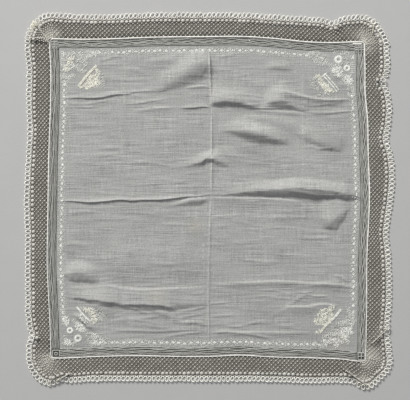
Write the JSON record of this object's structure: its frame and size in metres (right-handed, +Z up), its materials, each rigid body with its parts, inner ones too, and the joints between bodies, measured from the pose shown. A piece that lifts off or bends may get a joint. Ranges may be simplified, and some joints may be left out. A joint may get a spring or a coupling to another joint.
{
  "type": "lace handkerchief",
  "caption": "Square sheer handkerchief lying flat, with rolled hem, gathered net lace border and scalloped ring edging, creased from folding.",
  "frame": {"origin": "on the surface that the handkerchief lies on, under the middle of its bounding box", "axes": "+Z up, out of the right side of the cloth; +Y towards the side with the lace join at its left end; +X to the right of it"},
  "size_m": [0.3708, 0.3774, 0.0044],
  "materials": {
    "linen": "sheer plain weave, matt, with bright stitching",
    "net_lace": "fine cotton net with small knots, matt",
    "ring_lace": "cream cotton thread worked in small loops, matt"
  },
  "bodies": {
    "root": {"linen_centre": "linen", "net_border": "net_lace", "ring_edging": "ring_lace"}
  },
  "joints": []
}
